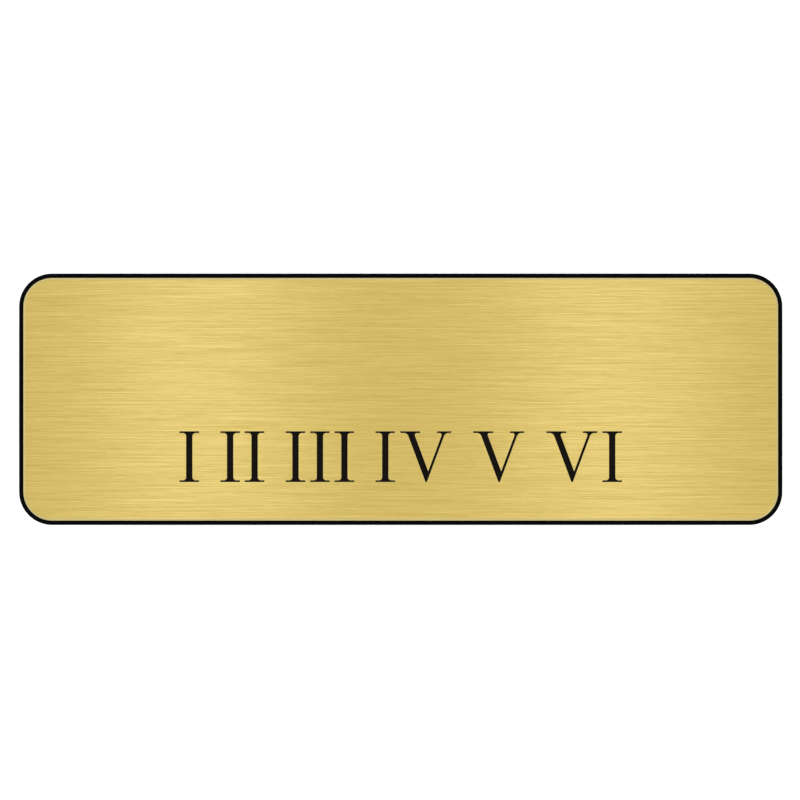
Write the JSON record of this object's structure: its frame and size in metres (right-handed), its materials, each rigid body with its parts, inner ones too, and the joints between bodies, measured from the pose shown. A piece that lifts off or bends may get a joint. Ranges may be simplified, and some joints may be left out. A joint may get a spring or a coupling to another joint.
{
  "type": "name badge",
  "caption": "Rectangular name badge worn on clothes by a bar pin on its back: rounded corners, brushed gold face engraved through to a black core.",
  "frame": {"origin": "on the surface that the badge lies on, face up, under the middle of its plate", "axes": "+X along the badge in its reading direction, +Y to the top of its face, +Z out of its face"},
  "size_m": [0.0762, 0.0252, 0.008],
  "materials": {
    "core": "black engraving plastic, satin, with a milled bevel",
    "face": "gold metallic cap brushed along the badge",
    "pin": "nickel-plated steel"
  },
  "bodies": {
    "root": {"core_plate": "core", "face_cap": "face", "bar_pin": "pin"}
  },
  "joints": []
}
